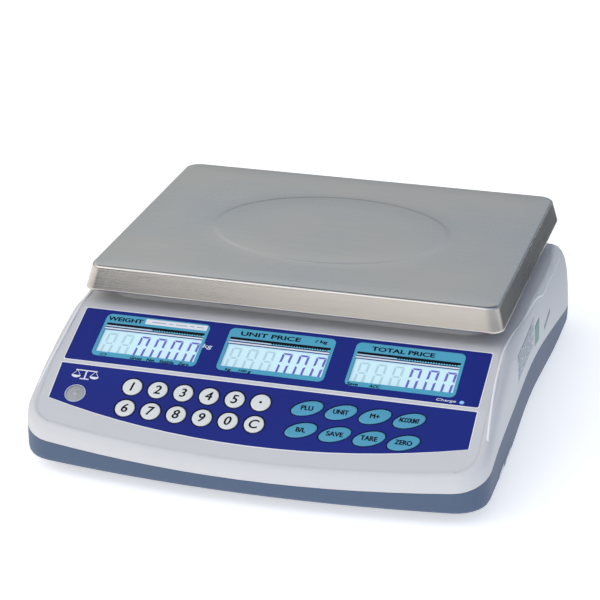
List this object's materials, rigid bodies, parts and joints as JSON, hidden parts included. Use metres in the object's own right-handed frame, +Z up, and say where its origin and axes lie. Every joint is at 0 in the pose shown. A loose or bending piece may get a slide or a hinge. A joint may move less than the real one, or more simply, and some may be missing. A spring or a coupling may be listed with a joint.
{
  "type": "counting scale",
  "caption": "Bench counting scale with a steel platter over a load cell, a sloped panel with windows and push keys, and levelling feet.",
  "frame": {"origin": "on the floor under the middle of the body, feet at rest", "axes": "+X to the operator's right, +Y away from the operator towards the back, +Z up"},
  "size_m": [0.315, 0.355, 0.11],
  "materials": {
    "light_housing": "fine moulded texture",
    "slate_housing": "fine moulded texture",
    "platter_steel": "brushed across the width",
    "cast_aluminium": "as cast and machined",
    "overlay_blue": "printed satin film",
    "lcd_glass": "lit liquid crystal panel",
    "circuit_board": "solder mask",
    "level_glass": "clear moulded vial",
    "lamp_lens": "clear lens",
    "black_plastic": "moulded",
    "rubber": "moulded rubber",
    "bolt_steel": "zinc plated",
    "key_grey": "soft moulded caps",
    "key_teal": "soft moulded caps"
  },
  "bodies": {
    "base": {"top_housing": "light_housing", "bottom_housing": "slate_housing", "display_overlay": "overlay_blue", "keypad_overlay": "overlay_blue", "weight_display": "lcd_glass", "unit_price_display": "lcd_glass", "total_price_display": "lcd_glass", "display_board": "circuit_board", "keypad_board": "circuit_board", "main_board": "circuit_board", "level_vial": "level_glass", "charge_lamp": "lamp_lens", "lower_spacer": "cast_aluminium", "lower_bolt_1": "bolt_steel", "lower_bolt_2": "bolt_steel", "battery": "black_plastic", "switch_body": "black_plastic", "power_jack": "black_plastic"},
    "load_cell": {"load_cell": "cast_aluminium"},
    "weigh_platform": {"platter_support": "cast_aluminium", "platter_pad_1": "rubber", "platter_pad_2": "rubber", "platter_pad_3": "rubber", "platter_pad_4": "rubber", "upper_spacer": "cast_aluminium", "upper_bolt_1": "bolt_steel", "upper_bolt_2": "bolt_steel"},
    "platter": {"platter": "platter_steel"},
    "battery_door": {"battery_door": "slate_housing"},
    "power_rocker": {"power_rocker": "black_plastic"},
    "key_1": {"key_1": "key_grey"},
    "key_2": {"key_2": "key_grey"},
    "key_3": {"key_3": "key_grey"},
    "key_4": {"key_4": "key_grey"},
    "key_5": {"key_5": "key_grey"},
    "key_point": {"key_point": "key_grey"},
    "key_6": {"key_6": "key_grey"},
    "key_7": {"key_7": "key_grey"},
    "key_8": {"key_8": "key_grey"},
    "key_9": {"key_9": "key_grey"},
    "key_0": {"key_0": "key_grey"},
    "key_clear": {"key_clear": "key_grey"},
    "key_recall": {"key_recall": "key_teal"},
    "key_unit": {"key_unit": "key_teal"},
    "key_add": {"key_add": "key_teal"},
    "key_account": {"key_account": "key_teal"},
    "key_light": {"key_light": "key_teal"},
    "key_save": {"key_save": "key_teal"},
    "key_tare": {"key_tare": "key_teal"},
    "key_zero": {"key_zero": "key_teal"},
    "foot_sole_1": {"foot_sole_1": "rubber"},
    "foot_screw_1": {"foot_screw_1": "black_plastic"},
    "foot_sole_2": {"foot_sole_2": "rubber"},
    "foot_screw_2": {"foot_screw_2": "black_plastic"},
    "foot_sole_3": {"foot_sole_3": "rubber"},
    "foot_screw_3": {"foot_screw_3": "black_plastic"},
    "foot_sole_4": {"foot_sole_4": "rubber"},
    "foot_screw_4": {"foot_screw_4": "black_plastic"}
  },
  "joints": [
    {"name": "cell_bend", "type": "slide", "parent": "base", "child": "load_cell", "axis": [0, 0, 1], "range_m": [-0.00025, 0], "stiffness_N_per_m": 600000},
    {"name": "platform_sink", "type": "slide", "parent": "load_cell", "child": "weigh_platform", "axis": [0, 0, 1], "range_m": [-0.00025, 0]},
    {"name": "platter_lift", "type": "slide", "parent": "weigh_platform", "child": "platter", "axis": [0, 0, 1], "range_m": [0, 0.04]},
    {"name": "battery_door_hinge", "type": "hinge", "parent": "base", "child": "battery_door", "pos_m": [0.088, -0.074, 0.0147], "axis": [-1, 0, 0], "range_deg": [0, 75]},
    {"name": "power_rocker_tilt", "type": "hinge", "parent": "base", "child": "power_rocker", "pos_m": [0.128, -0.093, 0.0165], "axis": [1, 0, 0], "range_deg": [-8, 8]},
    {"name": "key_1_press", "type": "slide", "parent": "base", "child": "key_1", "axis": [0, 0.4772, -0.8788], "range_m": [0, 0.0004], "stiffness_N_per_m": 7500},
    {"name": "key_2_press", "type": "slide", "parent": "base", "child": "key_2", "axis": [0, 0.4772, -0.8788], "range_m": [0, 0.0004], "stiffness_N_per_m": 7500},
    {"name": "key_3_press", "type": "slide", "parent": "base", "child": "key_3", "axis": [0, 0.4772, -0.8788], "range_m": [0, 0.0004], "stiffness_N_per_m": 7500},
    {"name": "key_4_press", "type": "slide", "parent": "base", "child": "key_4", "axis": [0, 0.4772, -0.8788], "range_m": [0, 0.0004], "stiffness_N_per_m": 7500},
    {"name": "key_5_press", "type": "slide", "parent": "base", "child": "key_5", "axis": [0, 0.4772, -0.8788], "range_m": [0, 0.0004], "stiffness_N_per_m": 7500},
    {"name": "key_point_press", "type": "slide", "parent": "base", "child": "key_point", "axis": [0, 0.4772, -0.8788], "range_m": [0, 0.0004], "stiffness_N_per_m": 7500},
    {"name": "key_6_press", "type": "slide", "parent": "base", "child": "key_6", "axis": [0, 0.4772, -0.8788], "range_m": [0, 0.0004], "stiffness_N_per_m": 7500},
    {"name": "key_7_press", "type": "slide", "parent": "base", "child": "key_7", "axis": [0, 0.4772, -0.8788], "range_m": [0, 0.0004], "stiffness_N_per_m": 7500},
    {"name": "key_8_press", "type": "slide", "parent": "base", "child": "key_8", "axis": [0, 0.4772, -0.8788], "range_m": [0, 0.0004], "stiffness_N_per_m": 7500},
    {"name": "key_9_press", "type": "slide", "parent": "base", "child": "key_9", "axis": [0, 0.4772, -0.8788], "range_m": [0, 0.0004], "stiffness_N_per_m": 7500},
    {"name": "key_0_press", "type": "slide", "parent": "base", "child": "key_0", "axis": [0, 0.4772, -0.8788], "range_m": [0, 0.0004], "stiffness_N_per_m": 7500},
    {"name": "key_clear_press", "type": "slide", "parent": "base", "child": "key_clear", "axis": [0, 0.4772, -0.8788], "range_m": [0, 0.0004], "stiffness_N_per_m": 7500},
    {"name": "key_recall_press", "type": "slide", "parent": "base", "child": "key_recall", "axis": [0, 0.4772, -0.8788], "range_m": [0, 0.0004], "stiffness_N_per_m": 7500},
    {"name": "key_unit_press", "type": "slide", "parent": "base", "child": "key_unit", "axis": [0, 0.4772, -0.8788], "range_m": [0, 0.0004], "stiffness_N_per_m": 7500},
    {"name": "key_add_press", "type": "slide", "parent": "base", "child": "key_add", "axis": [0, 0.4772, -0.8788], "range_m": [0, 0.0004], "stiffness_N_per_m": 7500},
    {"name": "key_account_press", "type": "slide", "parent": "base", "child": "key_account", "axis": [0, 0.4772, -0.8788], "range_m": [0, 0.0004], "stiffness_N_per_m": 7500},
    {"name": "key_light_press", "type": "slide", "parent": "base", "child": "key_light", "axis": [0, 0.4772, -0.8788], "range_m": [0, 0.0004], "stiffness_N_per_m": 7500},
    {"name": "key_save_press", "type": "slide", "parent": "base", "child": "key_save", "axis": [0, 0.4772, -0.8788], "range_m": [0, 0.0004], "stiffness_N_per_m": 7500},
    {"name": "key_tare_press", "type": "slide", "parent": "base", "child": "key_tare", "axis": [0, 0.4772, -0.8788], "range_m": [0, 0.0004], "stiffness_N_per_m": 7500},
    {"name": "key_zero_press", "type": "slide", "parent": "base", "child": "key_zero", "axis": [0, 0.4772, -0.8788], "range_m": [0, 0.0004], "stiffness_N_per_m": 7500},
    {"name": "foot_1_height", "type": "slide", "parent": "base", "child": "foot_sole_1", "axis": [0, 0, 1], "range_m": [-0.0061, 0.0021]},
    {"name": "foot_1_turn", "type": "hinge", "parent": "foot_sole_1", "child": "foot_screw_1", "pos_m": [-0.125, -0.13, 0.006], "axis": [0, 0, 1], "range_deg": [-1760, 606]},
    {"name": "foot_2_height", "type": "slide", "parent": "base", "child": "foot_sole_2", "axis": [0, 0, 1], "range_m": [-0.0061, 0.0021]},
    {"name": "foot_2_turn", "type": "hinge", "parent": "foot_sole_2", "child": "foot_screw_2", "pos_m": [0.125, -0.13, 0.006], "axis": [0, 0, 1], "range_deg": [-1760, 606]},
    {"name": "foot_3_height", "type": "slide", "parent": "base", "child": "foot_sole_3", "axis": [0, 0, 1], "range_m": [-0.0061, 0.0021]},
    {"name": "foot_3_turn", "type": "hinge", "parent": "foot_sole_3", "child": "foot_screw_3", "pos_m": [-0.125, 0.145, 0.006], "axis": [0, 0, 1], "range_deg": [-1760, 606]},
    {"name": "foot_4_height", "type": "slide", "parent": "base", "child": "foot_sole_4", "axis": [0, 0, 1], "range_m": [-0.0061, 0.0021]},
    {"name": "foot_4_turn", "type": "hinge", "parent": "foot_sole_4", "child": "foot_screw_4", "pos_m": [0.125, 0.145, 0.006], "axis": [0, 0, 1], "range_deg": [-1760, 606]}
  ],
  "couplings": [
    {"joint": "platform_sink", "follows": "cell_bend", "ratio": 1},
    {"joint": "foot_1_turn", "follows": "foot_1_height", "rad_per_m": 5026.5},
    {"joint": "foot_2_turn", "follows": "foot_2_height", "rad_per_m": 5026.5},
    {"joint": "foot_3_turn", "follows": "foot_3_height", "rad_per_m": 5026.5},
    {"joint": "foot_4_turn", "follows": "foot_4_height", "rad_per_m": 5026.5}
  ]
}
